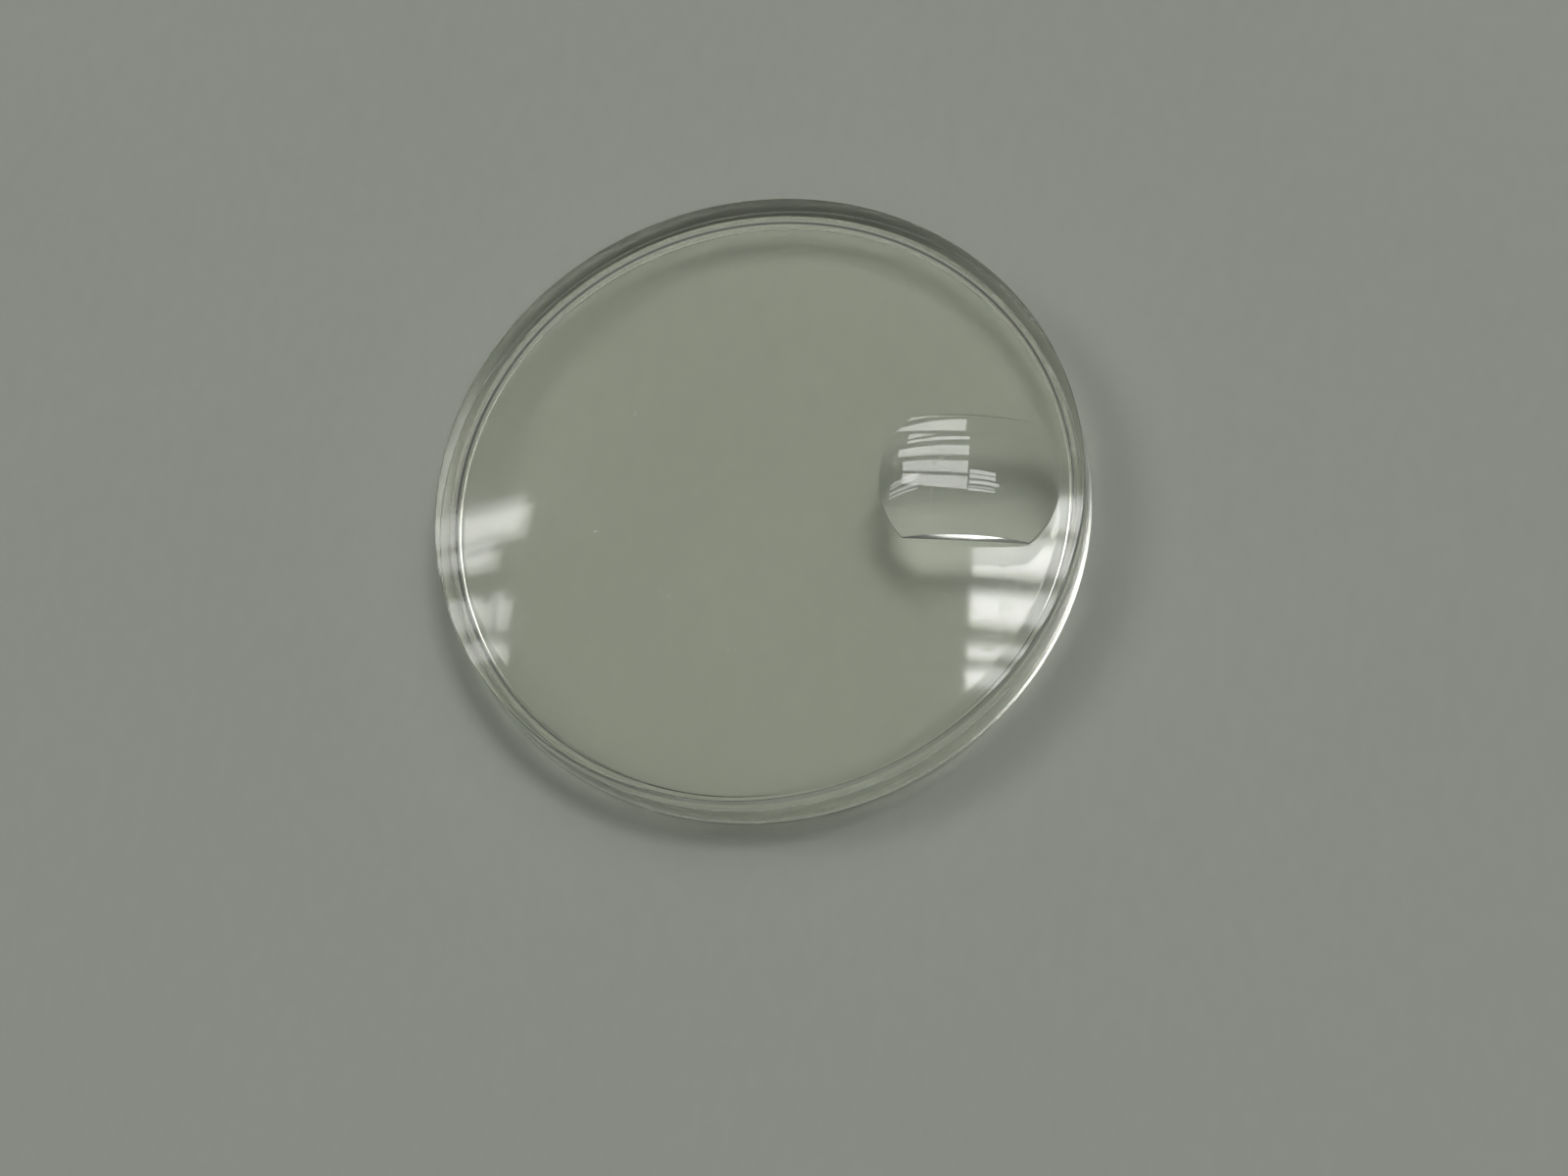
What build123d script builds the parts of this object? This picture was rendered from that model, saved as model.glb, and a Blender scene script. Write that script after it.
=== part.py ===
from build123d import *
import os
from math import asin, degrees, sqrt

# Watch crystal: a clear acrylic cover with a straight skirt and a shallow dome, and a
# date magnifier cemented on the dome at three o'clock.
# Units are millimetres. +Z is up through the dome, +X points at the magnifier, and the
# origin is the centre of the ring face that the skirt stands on.

# Crystal body
skirt_diameter = 30.0
skirt_height = 3.0
skirt_wall = 0.55
dome_rise = 1.35
plate_thickness = 1.8
rim_edge_radius = 0.03
inside_corner_radius = 0.1
base_outer_chamfer = 0.04
base_inner_chamfer = 0.02

# Date magnifier
lens_diameter = 8.1
lens_across_flats = 5.85
lens_edge_height = 0.12
lens_curve_radius = 7.2
lens_to_rim = 1.05

# Cement between the magnifier and the dome
cement_thickness = 0.04
cement_inset = 0.04
seating_clearance = 0.02

# Places worked out from the sizes above
skirt_radius = skirt_diameter / 2
bore_radius = skirt_radius - skirt_wall
crown_height = skirt_height + dome_rise
dome_radius = (skirt_radius**2 + dome_rise**2) / (2 * dome_rise)
dome_centre_height = crown_height - dome_radius
lens_radius = lens_diameter / 2
film_under_radius = dome_radius + seating_clearance
film_top_radius = film_under_radius + cement_thickness
lens_seat_radius = film_top_radius + seating_clearance
lens_offset = skirt_radius - lens_to_rim - lens_radius
lens_tilt = degrees(asin(lens_offset / dome_radius))
cut_overrun = lens_diameter


def height_on_arc(arc_radius, across):
    """Height above the centre of a circle of the point that lies across from its axis."""
    return sqrt(arc_radius**2 - across**2)


def crown_arc(arc_radius, across, centre_height=0.0):
    """Arc that starts on the Z axis, on top of a circle, and runs out to a distance across."""
    return ThreePointArc(
        (0, centre_height + arc_radius),
        (across / 2, centre_height + height_on_arc(arc_radius, across / 2)),
        (across, centre_height + height_on_arc(arc_radius, across)),
    )


def crystal_body():
    """Domed plate and its straight skirt, turned from one profile."""
    under_radius = dome_radius - plate_thickness
    with BuildPart() as body:
        with BuildSketch(Plane.XZ) as profile:
            with BuildLine():
                dome = crown_arc(dome_radius, skirt_radius, dome_centre_height)
                under = crown_arc(under_radius, bore_radius, dome_centre_height)
                Polyline(
                    dome @ 1,
                    (skirt_radius, base_outer_chamfer),
                    (skirt_radius - base_outer_chamfer, 0),
                    (bore_radius + base_inner_chamfer, 0),
                    (bore_radius, base_inner_chamfer),
                    under @ 1,
                )
                Line(under @ 0, dome @ 0)
            make_face()
            fillet(profile.vertices().sort_by_distance(dome @ 1)[0], rim_edge_radius)
            fillet(profile.vertices().sort_by_distance(under @ 1)[0], inside_corner_radius)
        revolve(axis=Axis.Z)
    return body.part


def capped_disc(lower_radius, upper_arc, disc_radius, across_flats):
    """Disc that sits on the dome's sphere, with its two long sides cut flat.

    Local Z runs from the dome's centre of curvature through the middle of the disc.
    """
    with BuildPart() as disc:
        with BuildSketch(Plane.XZ):
            with BuildLine():
                lower = crown_arc(lower_radius, disc_radius)
                upper = upper_arc(disc_radius)
                Line(lower @ 1, upper @ 1)
                Line(lower @ 0, upper @ 0)
            make_face()
        revolve(axis=Axis.Z)
        with Locations((0, 0, lower_radius)):
            Box(cut_overrun, across_flats, cut_overrun, mode=Mode.INTERSECT)
    return disc.part


def on_dome(piece):
    """Moves a piece from the dome's centre of curvature to its seat at three o'clock."""
    return Location((0, 0, dome_centre_height), (0, lens_tilt, 0)) * piece


def date_magnifier():
    """Plano-convex lens, hollowed underneath to follow the dome."""
    edge_top = height_on_arc(lens_seat_radius, lens_radius) + lens_edge_height
    cap_centre = edge_top - height_on_arc(lens_curve_radius, lens_radius)
    lens = capped_disc(
        lens_seat_radius,
        lambda across: crown_arc(lens_curve_radius, across, cap_centre),
        lens_radius,
        lens_across_flats,
    )
    return on_dome(lens)


def cement_film():
    """Thin clear layer that holds the magnifier on the dome."""
    film = capped_disc(
        film_under_radius,
        lambda across: crown_arc(film_top_radius, across),
        lens_radius - cement_inset,
        lens_across_flats - 2 * cement_inset,
    )
    return on_dome(film)


os.makedirs("parts", exist_ok=True)
for name, make in {
    "crystal_body": crystal_body,
    "date_magnifier": date_magnifier,
    "cement_film": cement_film,
}.items():
    export_step(make(), f"parts/{name}.step")
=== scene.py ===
from math import asin, cos, hypot, pi, sin, sqrt, tan

import bpy
from mathutils import Matrix, Vector


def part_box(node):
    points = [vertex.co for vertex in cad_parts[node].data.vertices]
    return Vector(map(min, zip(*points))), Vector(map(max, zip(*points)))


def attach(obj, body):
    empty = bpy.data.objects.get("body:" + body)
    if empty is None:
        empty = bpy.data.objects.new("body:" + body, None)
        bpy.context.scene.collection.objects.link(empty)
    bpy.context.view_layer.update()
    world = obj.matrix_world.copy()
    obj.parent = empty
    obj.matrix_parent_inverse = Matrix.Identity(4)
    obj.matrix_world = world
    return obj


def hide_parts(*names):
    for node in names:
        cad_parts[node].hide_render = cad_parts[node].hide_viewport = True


# A clear acrylic watch crystal with a date magnifier, lying skirt down on pale paper.
# Metres, +Z up through the dome and +X towards the magnifier, as in the frame.

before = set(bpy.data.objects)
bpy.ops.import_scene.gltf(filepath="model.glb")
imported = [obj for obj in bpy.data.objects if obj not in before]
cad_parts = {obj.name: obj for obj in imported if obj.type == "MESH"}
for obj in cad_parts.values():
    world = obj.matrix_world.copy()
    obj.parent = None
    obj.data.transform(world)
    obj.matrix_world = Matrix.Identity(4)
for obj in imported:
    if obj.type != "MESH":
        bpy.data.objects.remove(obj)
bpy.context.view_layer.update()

MM = 0.001

# Sizes read from the frame
body_low, body_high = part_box("crystal_body")
lens_low, lens_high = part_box("date_magnifier")
skirt_radius = min(body_high.x, body_high.y, -body_low.x, -body_low.y)
crown_height = body_high.z
lens_across_flats = lens_high.y - lens_low.y

# Sizes of the crystal body
skirt_height = 3.0 * MM
skirt_wall = 0.55 * MM
plate_thickness = 1.8 * MM
rim_edge_radius = 0.03 * MM
inside_corner_radius = 0.1 * MM
base_outer_chamfer = 0.04 * MM
base_inner_chamfer = 0.02 * MM

# Sizes of the magnifier and its cement
lens_diameter = 8.1 * MM
lens_edge_height = 0.12 * MM
lens_curve_radius = 7.2 * MM
lens_to_rim = 1.05 * MM
lens_edge_break = 0.025 * MM
cement_thickness = 0.04 * MM
cement_inset = 0.04 * MM
seating_clearance = 0.02 * MM

# Fineness of the meshes
turn_steps = 1080
dome_steps = 24
fillet_steps = 6
wall_steps = 3
support_gap = 0.004 * MM
merge_distance = support_gap / 20
lens_flat_steps = 300
lens_arc_steps = 72
lens_ring_steps = 40
tick_pitch = 0.1 * MM
tick_depth = 0.004 * MM
floor_gap = 0.02 * MM
floor_reach = 2.0
lens_top_margin = 0.002 * MM

# Places worked out from the sizes above
bore_radius = skirt_radius - skirt_wall
dome_rise = crown_height - skirt_height
dome_radius = (skirt_radius**2 + dome_rise**2) / (2 * dome_rise)
dome_centre_height = crown_height - dome_radius
under_radius = dome_radius - plate_thickness
corner_height = dome_centre_height + sqrt(under_radius**2 - bore_radius**2)
lens_radius = lens_diameter / 2
half_flats = lens_across_flats / 2
film_under_radius = dome_radius + seating_clearance
film_top_radius = film_under_radius + cement_thickness
lens_seat_radius = film_top_radius + seating_clearance
lens_offset = skirt_radius - lens_to_rim - lens_radius
lens_tilt = asin(lens_offset / dome_radius)
lens_axis = Vector((sin(lens_tilt), 0, cos(lens_tilt)))
dome_centre = Vector((0, 0, dome_centre_height))
optical_index = 1.49

# Polished acrylic. Here and below, the scale of a noise is its number of grains per metre.
noise_middle = 0.5
polish_roughness = 0.012
cloud_scale = 420.0
cloud_roughness = 0.02
lengthwise_scratches = (900.0, 90.0, 90.0)
lengthwise_thinness = 0.0035
crosswise_scratches = (140.0, 1100.0, 140.0)
crosswise_thinness = 0.0025
scratch_patch_scale = 260.0
scratch_patch_level = 0.56
scratch_roughness = 0.12
wave_scale = 130.0
wave_height = 0.0015 * MM
scratch_depth = 0.0001 * MM
body_tint_warm = (0.985, 0.985, 0.92, 1)
body_tint_cool = (0.985, 0.99, 0.94, 1)
lens_tint_scale = 500.0
lens_tint_warm = (0.985, 0.99, 0.96, 1)
lens_tint_cool = (0.995, 0.995, 0.975, 1)

# Turned, buffed and milled faces
drift_scale = 300.0
drift_roughness = 0.03
feed_wander = 3
turning_pitch = 0.13 * MM
turning_depth = 0.00001 * MM
turned_roughness = 0.10
buffed_roughness = 0.04
corner_roughness = 0.06
milled_roughness = 0.10

# Bubbles in the cement
bubble_cells = 1100.0
bubble_share = 0.09
crowding_scale = 500.0
crowding_level = 0.6
cement_tint_warm = (0.97, 0.98, 0.93, 1)
cement_tint_cool = (0.99, 0.99, 0.97, 1)

# Paper
fibre_scales = (1400.0, 700.0, 1000.0)
paper_cloud_scale = 60.0
paper_relief = 0.006 * MM
paper_dark = (0.61, 0.64, 0.58, 1)
paper_light = (0.69, 0.72, 0.655, 1)


class Value:
    """A socket of a node tree, on which Python's arithmetic adds Math nodes."""

    def __init__(self, tree, socket):
        self.tree = tree
        self.socket = socket

    def math(self, operation, *values):
        numbered = dict(enumerate(values))
        return self.tree.add("ShaderNodeMath", {"operation": operation}, numbered)

    def __add__(self, other):
        return self.math("ADD", self, other)

    def __radd__(self, other):
        return self.math("ADD", other, self)

    def __sub__(self, other):
        return self.math("SUBTRACT", self, other)

    def __rsub__(self, other):
        return self.math("SUBTRACT", other, self)

    def __mul__(self, other):
        return self.math("MULTIPLY", self, other)

    def __rmul__(self, other):
        return self.math("MULTIPLY", other, self)

    def __truediv__(self, other):
        return self.math("DIVIDE", self, other)

    def __lt__(self, other):
        return self.math("LESS_THAN", self, other)

    def __gt__(self, other):
        return self.math("GREATER_THAN", self, other)

    def power(self, exponent):
        return self.math("POWER", self, exponent)

    def root(self):
        return self.math("SQRT", self)

    def size(self):
        return self.math("ABSOLUTE", self)

    def floor(self):
        return self.math("FLOOR", self)

    def sine(self):
        return self.math("SINE", self)

    def cosine(self):
        return self.math("COSINE", self)

    def between(self, low, high):
        """Goes smoothly from 0 at low to 1 at high."""
        settings = {"interpolation_type": "SMOOTHSTEP"}
        inputs = {"Value": self, "From Min": low, "From Max": high}
        return self.tree.add("ShaderNodeMapRange", settings, inputs)


class Tree:
    """A shader or geometry node tree, with one way to add a node to it."""

    def __init__(self, tree):
        self.tree = tree

    def add(self, kind, settings=None, inputs=None, output=0):
        node = self.tree.nodes.new(kind)
        for name, setting in (settings or {}).items():
            setattr(node, name, setting)
        for name, value in (inputs or {}).items():
            if isinstance(value, Value):
                self.tree.links.new(value.socket, node.inputs[name])
            else:
                node.inputs[name].default_value = value
        return Value(self, node.outputs[output]) if len(node.outputs) else node


class Finish(Tree):
    """A material made of nodes."""

    def __init__(self, name):
        self.material = bpy.data.materials.new(name)
        self.material.use_nodes = True
        super().__init__(self.material.node_tree)
        self.tree.nodes.clear()

    def place(self):
        """Object coordinates as one vector."""
        return self.add("ShaderNodeTexCoord", output="Object")

    def axes(self, place):
        """The three numbers of a vector."""
        split = self.add("ShaderNodeSeparateXYZ", inputs={0: place}).socket.node
        return [Value(self, socket) for socket in split.outputs]

    def noise(self, place, scale, detail=2.0):
        inputs = {"Vector": place, "Scale": scale, "Detail": detail}
        return self.add("ShaderNodeTexNoise", {"noise_dimensions": "3D"}, inputs)

    def stretched(self, place, scales):
        return self.add("ShaderNodeMapping", inputs={"Vector": place, "Scale": scales})

    def bump(self, height, distance):
        inputs = {"Height": height, "Strength": 1.0, "Distance": distance}
        return self.add("ShaderNodeBump", inputs=inputs)

    def blend(self, share, first, second):
        """Mixes two colours."""
        settings = {"data_type": "RGBA"}
        return self.add("ShaderNodeMix", settings, {0: share, 6: first, 7: second}, output=2)

    def clear(self, inputs):
        """Clear acrylic, with the given sockets on top of its plain ones."""
        plain = {
            "Transmission Weight": 1.0,
            "IOR": optical_index,
            "Base Color": (1, 1, 1, 1),
        }
        return self.add("ShaderNodeBsdfPrincipled", inputs=plain | inputs)

    def finish(self, shader):
        self.add("ShaderNodeOutputMaterial", inputs={"Surface": shader})
        return self.material


def bonded_mask(surface, place):
    """1 under the magnifier's footprint, where cement joins two pieces, and 0 elsewhere."""
    x, y, z = surface.axes(place)
    across = x * cos(lens_tilt) - (z - dome_centre_height) * sin(lens_tilt)
    in_disc = (across.power(2) + y * y).root() < lens_radius - cement_inset
    in_flats = y.size() < half_flats - cement_inset
    return in_disc * in_flats


def hairlines(surface, place, scales, thinness):
    """1 on a few long fine scratches that run mostly one way, and 0 elsewhere."""
    long_way = surface.stretched(place, scales)
    line = surface.noise(long_way, 1.0, 1.0)
    patches = surface.noise(place, scratch_patch_scale, 1.0)
    return ((line - noise_middle).size() < thinness) * (patches > scratch_patch_level)


def polish(surface, place, exposed):
    """Height and roughness of polished acrylic: slow waves, clouds, and hairlines where exposed."""
    waves = surface.noise(place, wave_scale, 1.0)
    lengthwise = hairlines(surface, place, lengthwise_scratches, lengthwise_thinness)
    crosswise = hairlines(surface, place, crosswise_scratches, crosswise_thinness)
    scratches = (lengthwise + crosswise) * exposed
    clouds = surface.noise(place, cloud_scale, 3.0)
    height = waves * wave_height - scratches * scratch_depth
    roughness = polish_roughness + clouds.between(0.45, 0.7) * cloud_roughness
    roughness = roughness + scratches * scratch_roughness
    return height, roughness


def body_acrylic():
    surface = Finish("body_acrylic")
    place = surface.place()
    x, y, z = surface.axes(place)
    from_axis = (x * x + y * y).root()
    from_centre = (x * x + y * y + (z - dome_centre_height).power(2)).root()
    dome_face = from_centre > dome_radius - support_gap
    bonded = bonded_mask(surface, place) * dome_face
    height, roughness = polish(surface, place, from_axis < bore_radius - 2 * inside_corner_radius)
    on_wall = (from_axis > bore_radius - support_gap) * (z < skirt_height - rim_edge_radius)
    drift = surface.noise(place, drift_scale, 2.0)
    feed = (z * (2 * pi / turning_pitch) + drift * feed_wander).sine()
    height = height + feed * on_wall * turning_depth
    roughness = roughness + on_wall * (turned_roughness + drift.between(0.4, 0.7) * drift_roughness)
    roughness = roughness + dome_face * buffed_roughness
    to_corner = ((from_axis - bore_radius).power(2) + (z - corner_height).power(2)).root()
    roughness = roughness + (to_corner < 2 * inside_corner_radius) * corner_roughness
    bump = surface.bump(height, 1.0)
    tint = surface.blend(drift, body_tint_warm, body_tint_cool)
    glass = surface.clear({"Roughness": roughness, "Base Color": tint, "Normal": bump})
    joined = surface.add("ShaderNodeBsdfTransparent")
    return surface.finish(surface.add("ShaderNodeMixShader", inputs={0: bonded, 1: glass, 2: joined}))


def lens_acrylic():
    surface = Finish("lens_acrylic")
    place = surface.place()
    x, y, z = surface.axes(place)
    from_centre = (x * x + y * y + (z - dome_centre_height).power(2)).root()
    under = from_centre < lens_seat_radius + support_gap
    bonded = bonded_mask(surface, place) * under
    on_flat = y.size() > half_flats - 2 * tick_depth
    height, roughness = polish(surface, place, 1 - on_flat)
    roughness = roughness + on_flat * milled_roughness
    bump = surface.bump(height, 1.0)
    tint = surface.blend(surface.noise(place, lens_tint_scale), lens_tint_warm, lens_tint_cool)
    glass = surface.clear({"Roughness": roughness, "Base Color": tint, "Normal": bump})
    joined = surface.add("ShaderNodeBsdfTransparent")
    return surface.finish(surface.add("ShaderNodeMixShader", inputs={0: bonded, 1: glass, 2: joined}))


def clear_cement():
    """Wet-looking cement, seen only in a few tiny bubbles."""
    surface = Finish("clear_cement")
    place = surface.place()
    cells = {"feature": "F1", "voronoi_dimensions": "3D"}
    to_bubble = surface.add("ShaderNodeTexVoronoi", cells, {"Vector": place, "Scale": bubble_cells})
    crowding = surface.noise(place, crowding_scale, 2.0)
    bubble = (to_bubble < bubble_share) * (crowding > crowding_level)
    tint = surface.blend(crowding, cement_tint_warm, cement_tint_cool)
    wet = surface.clear({"Roughness": 0.02 + crowding * 0.06, "Base Color": tint})
    joined = surface.add("ShaderNodeBsdfTransparent")
    return surface.finish(surface.add("ShaderNodeMixShader", inputs={0: bubble, 1: joined, 2: wet}))


def pale_paper():
    surface = Finish("pale_paper")
    place = surface.place()
    fibres = surface.noise(surface.stretched(place, fibre_scales), 1.0, 4.0)
    clouds = surface.noise(place, paper_cloud_scale, 3.0)
    colour = surface.blend(fibres * 0.6 + clouds * 0.4, paper_dark, paper_light)
    inputs = {
        "Base Color": colour,
        "Roughness": 0.85 + fibres * 0.1,
        "Normal": surface.bump(fibres, paper_relief),
    }
    return surface.finish(surface.add("ShaderNodeBsdfPrincipled", inputs=inputs))


def height_on_arc(arc_radius, across):
    """Height above the centre of a circle of the point that lies across from its axis."""
    return sqrt(arc_radius**2 - across**2)


def fillet_points(corner, before, after, radius, steps):
    """Points of a round that replaces a corner between two directions, first and last tangent."""
    into = (before - corner).normalized()
    out = (after - corner).normalized()
    half = into.angle(out) / 2
    reach = radius / tan(half)
    centre = corner + (into + out).normalized() * (radius / sin(half))
    start = corner + into * reach - centre
    sweep = pi - 2 * half
    side = (out - into * out.dot(into)).normalized()
    points = []
    for step in range(steps + 1):
        turned = sweep * step / steps
        points.append(centre + start * cos(turned) + side_of(start, side) * sin(turned))
    return points


def side_of(start, side):
    """The direction square to start, as long as it, on the given side."""
    square = side - start * (side.dot(start) / start.length_squared)
    return square.normalized() * start.length


def arc_points(arc_radius, near, far, steps):
    """Points of an arc about the dome's centre, between two distances from the axis."""
    points = []
    for step in range(steps + 1):
        across = near + (far - near) * step / steps
        points.append(Vector((across, dome_centre_height + height_on_arc(arc_radius, across))))
    return points


def run_points(start, end, steps):
    """Points of a straight run, with one close to each end so that its shading stays flat."""
    length = (end - start).length
    gap = min(support_gap, length / 4) / length
    shares = [0, gap] + [gap + (1 - 2 * gap) * step / steps for step in range(1, steps)] + [1 - gap, 1]
    return [start.lerp(end, share) for share in shares]


def body_profile():
    """Half section of the crystal body, from the crown round to the underside's middle."""
    rim = Vector((skirt_radius, dome_centre_height + height_on_arc(dome_radius, skirt_radius)))
    under = Vector((bore_radius, dome_centre_height + height_on_arc(under_radius, bore_radius)))
    dome_side = Vector((-rim.y + dome_centre_height, rim.x))
    under_side = Vector((-under.y + dome_centre_height, under.x))
    rim_round = fillet_points(rim, rim + dome_side, Vector((skirt_radius, 0)), rim_edge_radius, fillet_steps)
    inside_round = fillet_points(
        under, Vector((bore_radius, 0)), under + under_side, inside_corner_radius, fillet_steps
    )
    outer_foot = Vector((skirt_radius, base_outer_chamfer))
    base_outer = Vector((skirt_radius - base_outer_chamfer, 0))
    base_inner = Vector((bore_radius + base_inner_chamfer, 0))
    inner_foot = Vector((bore_radius, base_inner_chamfer))
    dome_end = rim_round[0].x
    under_end = inside_round[-1].x
    dome = arc_points(dome_radius, 0, dome_end - support_gap, dome_steps)
    ceiling = arc_points(under_radius, under_end - support_gap, 0, dome_steps)
    points = dome + rim_round
    points += run_points(rim_round[-1], outer_foot, wall_steps)[1:]
    points += run_points(outer_foot, base_outer, 2)[1:]
    points += run_points(base_outer, base_inner, 2)[1:]
    points += run_points(base_inner, inner_foot, 2)[1:]
    points += run_points(inner_foot, inside_round[0], wall_steps)[1:]
    points += inside_round[1:] + ceiling
    return points


def mesh_object(name, points, edges=(), faces=()):
    mesh = bpy.data.meshes.new(name)
    mesh.from_pydata(points, edges, faces)
    mesh.update()
    made = bpy.data.objects.new(name, mesh)
    bpy.context.scene.collection.objects.link(made)
    return made


def turning_tree(material):
    """Geometry nodes that turn a half section, drawn in X and Y, about the Z axis."""
    group = bpy.data.node_groups.new("turned_on_a_lathe", "GeometryNodeTree")
    group.interface.new_socket("Geometry", in_out="INPUT", socket_type="NodeSocketGeometry")
    steps_input = group.interface.new_socket("Steps", in_out="INPUT", socket_type="NodeSocketInt")
    group.interface.new_socket("Geometry", in_out="OUTPUT", socket_type="NodeSocketGeometry")
    tree = Tree(group)
    given = tree.add("NodeGroupInput").socket.node
    section = Value(tree, given.outputs["Geometry"])
    steps = Value(tree, given.outputs["Steps"])
    count = tree.add("GeometryNodeAttributeDomainSize", inputs={"Geometry": section}, output="Point Count")
    turns = steps + 1
    grid = tree.add("GeometryNodeMeshGrid", inputs={"Vertices X": count, "Vertices Y": turns})
    index = tree.add("GeometryNodeInputIndex")
    ring = (index / turns).floor()
    turn = index - ring * turns
    here = tree.add("GeometryNodeInputPosition")
    settings = {"data_type": "FLOAT_VECTOR"}
    inputs = {"Geometry": section, "Value": here, "Index": ring}
    sampled = tree.add("GeometryNodeSampleIndex", settings, inputs)
    split = tree.add("ShaderNodeSeparateXYZ", inputs={0: sampled}).socket.node
    across, height = Value(tree, split.outputs[0]), Value(tree, split.outputs[1])
    angle = turn / steps * (2 * pi)
    x = across * angle.cosine()
    y = across * angle.sine()
    spot = tree.add("ShaderNodeCombineXYZ", inputs={0: x, 1: y, 2: height})
    placed = tree.add("GeometryNodeSetPosition", inputs={"Geometry": grid, "Position": spot})
    inputs = {"Geometry": placed, "Distance": merge_distance}
    closed = tree.add("GeometryNodeMergeByDistance", inputs=inputs)
    smooth = tree.add("GeometryNodeSetShadeSmooth", inputs={"Geometry": closed})
    real = tree.add("GeometryNodeRealizeInstances", inputs={"Geometry": smooth})
    dressed = tree.add("GeometryNodeSetMaterial", inputs={"Geometry": real, "Material": material})
    tree.add("NodeGroupOutput", inputs={"Geometry": dressed})
    return group, steps_input.identifier


def turned(name, profile, steps, material):
    """A mesh turned from a half section, as plain vertices and faces."""
    points = [(point.x, point.y, 0) for point in profile]
    edges = [(spot, spot + 1) for spot in range(len(points) - 1)]
    made = mesh_object(name, points, edges)
    group, steps_input = turning_tree(material)
    modifier = made.modifiers.new("turning", "NODES")
    modifier.node_group = group
    modifier[steps_input] = steps
    shaped = made.evaluated_get(bpy.context.evaluated_depsgraph_get())
    mesh = bpy.data.meshes.new_from_object(shaped)
    made.modifiers.clear()
    made.data = mesh
    mesh.name = name
    return made


def footprint(radius, half_width, inset):
    """Outline of a disc with two flats, in the lens's own X and Y, with milled ticks on the flats."""
    radius -= inset
    half_width -= inset
    corner = sqrt(radius**2 - half_width**2)
    turn = asin(half_width / radius)
    points = []
    for step in range(lens_arc_steps):
        angle = -turn + 2 * turn * step / lens_arc_steps
        points.append((radius * cos(angle), radius * sin(angle)))
    for step in range(lens_flat_steps):
        along = corner - 2 * corner * step / lens_flat_steps
        tick = tick_depth * (0.5 - 0.5 * cos(2 * pi * (corner - along) / tick_pitch))
        points.append((along, half_width - tick))
    points += [(-x, -y) for x, y in points]
    return points


def on_dome(across, sideways, out):
    """A point of the magnifier in the frame, from its own X and Y and its height over the dome's centre."""
    along = Vector((cos(lens_tilt), 0, -sin(lens_tilt)))
    return dome_centre + along * across + Vector((0, sideways, 0)) + lens_axis * out


def capped_disc(name, rings, material):
    """A closed disc, given ring by ring from the middle of its top to the middle of its bottom."""
    count = len(rings[1])
    points = [rings[0]]
    for ring in rings[1:-1]:
        points += ring
    points.append(rings[-1])
    faces = []
    last = len(points) - 1
    for step in range(count):
        after = (step + 1) % count
        faces.append((0, 1 + step, 1 + after))
        for row in range(len(rings) - 3):
            here = 1 + row * count
            below = here + count
            faces.append((here + step, below + step, below + after, here + after))
        bottom = 1 + (len(rings) - 3) * count
        faces.append((bottom + step, last, bottom + after))
    made = mesh_object(name, points, (), faces)
    made.data.shade_smooth()
    made.data.materials.append(material)
    return made


def disc_rings(outline, top_of, bottom_of, edge_break, ring_steps):
    """Rings of a disc between two surfaces, with a narrow break along its upper edge."""
    rings = [on_dome(0, 0, top_of(0))]
    reach = hypot(*outline[0])
    break_share = edge_break / reach
    shares = [step / ring_steps for step in range(1, ring_steps)]
    shares += [1 - break_share - support_gap / reach, 1 - break_share]
    for share in shares:
        rings.append([on_dome(x * share, y * share, top_of(hypot(x, y) * share)) for x, y in outline])
    for drop in (0, support_gap):
        rings.append([on_dome(x, y, top_of(hypot(x, y)) - edge_break - drop) for x, y in outline])
    for lift in (support_gap, 0):
        rings.append([on_dome(x, y, bottom_of(hypot(x, y)) + lift) for x, y in outline])
    for share in [1 - support_gap / reach] + shares[-3::-1]:
        rings.append([on_dome(x * share, y * share, bottom_of(hypot(x, y) * share)) for x, y in outline])
    rings.append(on_dome(0, 0, bottom_of(0)))
    return rings


def make_body():
    body = turned("polished_crystal_body", body_profile(), turn_steps, body_acrylic())
    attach(body, "root")
    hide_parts("crystal_body")


def make_lens():
    edge_top = height_on_arc(lens_seat_radius, lens_radius) + lens_edge_height
    cap_centre = edge_top - height_on_arc(lens_curve_radius, lens_radius)
    rings = disc_rings(
        footprint(lens_radius, half_flats, 0),
        lambda across: cap_centre + height_on_arc(lens_curve_radius, across) - lens_top_margin,
        lambda across: height_on_arc(lens_seat_radius, across),
        lens_edge_break,
        lens_ring_steps,
    )
    lens = capped_disc("polished_date_magnifier", rings, lens_acrylic())
    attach(lens, "root")
    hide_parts("date_magnifier")


def make_cement():
    rings = disc_rings(
        footprint(lens_radius, half_flats, cement_inset),
        lambda across: height_on_arc(film_top_radius, across),
        lambda across: height_on_arc(film_under_radius, across),
        cement_thickness / 8,
        lens_ring_steps // 4,
    )
    film = capped_disc("clear_cement_film", rings, clear_cement())
    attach(film, "root")
    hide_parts("cement_film")


# Camera, from where the photograph was taken
camera_place = Vector((31.84, -64.23, 143.98)) * MM
camera_right = Vector((0.9812, 0.0750, -0.1780))
camera_forward = Vector((-0.1932, 0.3808, -0.9043))
picture_width = 1600
focal_length_pixels = 3562


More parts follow.
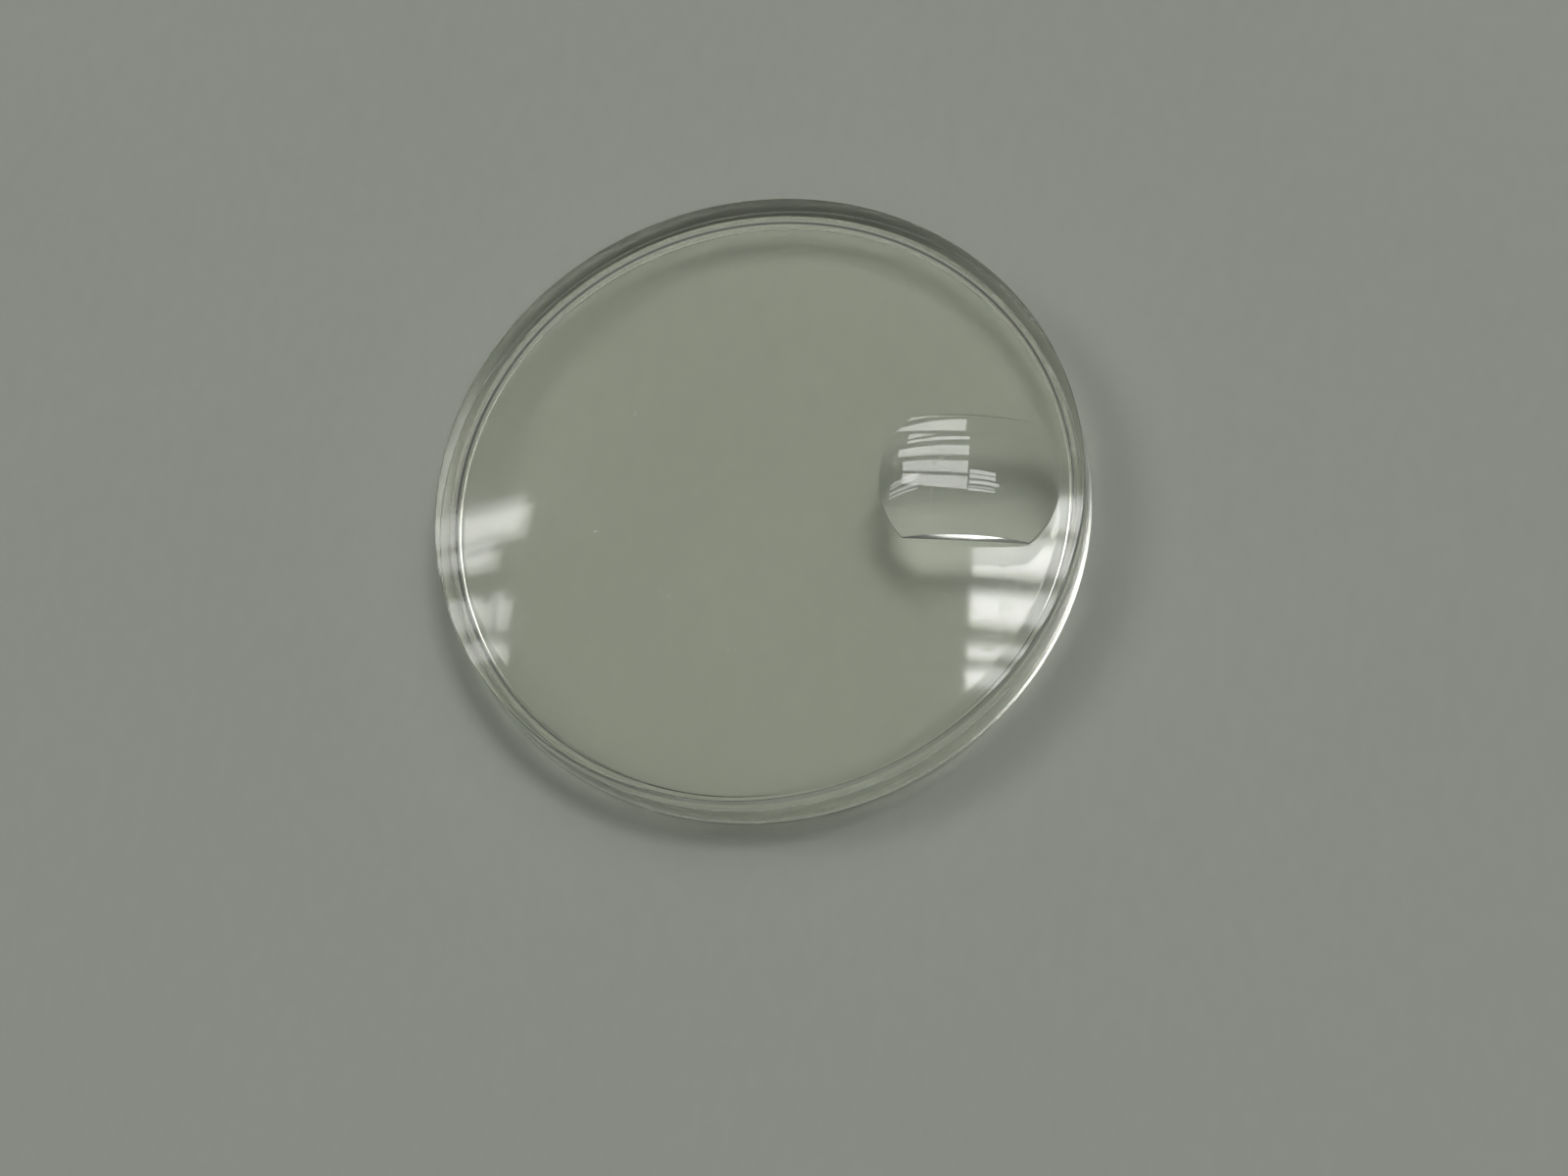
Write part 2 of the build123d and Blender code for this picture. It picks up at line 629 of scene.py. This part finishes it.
def make_camera():
    data = bpy.data.cameras.new("camera")
    data.sensor_width = 36
    data.lens = data.sensor_width * focal_length_pixels / picture_width
    data.clip_start = 1 * MM
    camera = bpy.data.objects.new("camera", data)
    back = -camera_forward.normalized()
    right = (camera_right - back * camera_right.dot(back)).normalized()
    up = back.cross(right)
    turn = Matrix((right, up, back)).transposed().to_4x4()
    camera.matrix_world = Matrix.Translation(camera_place) @ turn
    bpy.context.scene.collection.objects.link(camera)
    bpy.context.scene.camera = camera


# Two banks of strip lights overhead. A strip is given by its edges along X and Y, as shares
# of the height at which the banks hang.
bank_height = 1.5
right_bank_level = 6.5
left_bank_level = 4.0
right_bank_shares = (
    (0.10, 0.45, 0.382, 0.443),
    (0.10, 0.45, 0.307, 0.366),
    (0.10, 0.50, 0.228, 0.278),
    (0.10, 0.44, 0.178, 0.196),
    (0.10, 0.44, 0.132, 0.162),
)
left_bank_shares = (
    (-1.30, -0.605, 0.425, 0.490),
    (-1.30, -0.650, 0.376, 0.412),
    (-1.30, -0.650, 0.262, 0.318),
    (-0.635, -0.608, 0.262, 0.318),
    (-1.30, -0.600, 0.205, 0.240),
)


def strip_light(name, edges, level):
    west, east, near, far = [edge * bank_height for edge in edges]
    data = bpy.data.lights.new(name, "AREA")
    data.shape = "RECTANGLE"
    data.size = east - west
    data.size_y = far - near
    data.energy = level * 4 * data.size * data.size_y
    light = bpy.data.objects.new(name, data)
    light.location = ((west + east) / 2, (near + far) / 2, bank_height)
    light.visible_camera = False
    bpy.context.scene.collection.objects.link(light)


def make_lights():
    for number, edges in enumerate(right_bank_shares):
        strip_light(f"right_strip_{number}", edges, right_bank_level)
    for number, edges in enumerate(left_bank_shares):
        strip_light(f"left_strip_{number}", edges, left_bank_level)


# Sky: dim all round, and brighter in a soft patch above and behind the crystal. Where the
# camera sees past the paper's edge, it is a plain backdrop.
sky_patch = Vector((-0.1, 0.5, 1.0)).normalized()
sky_patch_edge = cos(0.9)
sky_patch_core = cos(0.25)
sky_low = 0.08
sky_high = 0.27
backdrop_level = 0.24
sky_colour = (1.0, 1.04, 0.96, 1)


def make_world():
    world = bpy.data.worlds.new("studio")
    bpy.context.scene.world = world
    world.use_nodes = True
    world.node_tree.nodes.clear()
    tree = Tree(world.node_tree)
    place = tree.add("ShaderNodeTexCoord", output="Generated")
    split = tree.add("ShaderNodeSeparateXYZ", inputs={0: place}).socket.node
    x, y, z = [Value(tree, socket) for socket in split.outputs]
    towards = x * sky_patch.x + y * sky_patch.y + z * sky_patch.z
    level = sky_low + sky_high * towards.between(sky_patch_edge, sky_patch_core)
    seen = tree.add("ShaderNodeLightPath", output="Is Camera Ray")
    level = level + seen * (backdrop_level - level)
    sky = tree.add("ShaderNodeBackground", inputs={"Color": sky_colour, "Strength": level})
    tree.add("ShaderNodeOutputWorld", inputs={"Surface": sky})


def make_floor():
    reach = floor_reach
    low = -floor_gap
    corners = [(-reach, -reach, low), (reach, -reach, low), (reach, reach, low), (-reach, reach, low)]
    floor = mesh_object("paper_floor", corners, (), [(0, 1, 2, 3)])
    floor.data.materials.append(pale_paper())


make_camera()
make_lights()
make_world()
make_floor()
make_body()
make_lens()
make_cement()

scene = bpy.context.scene
scene.view_settings.view_transform = "Standard"
scene.cycles.sample_clamp_indirect = 0
scene.cycles.blur_glossy = 0
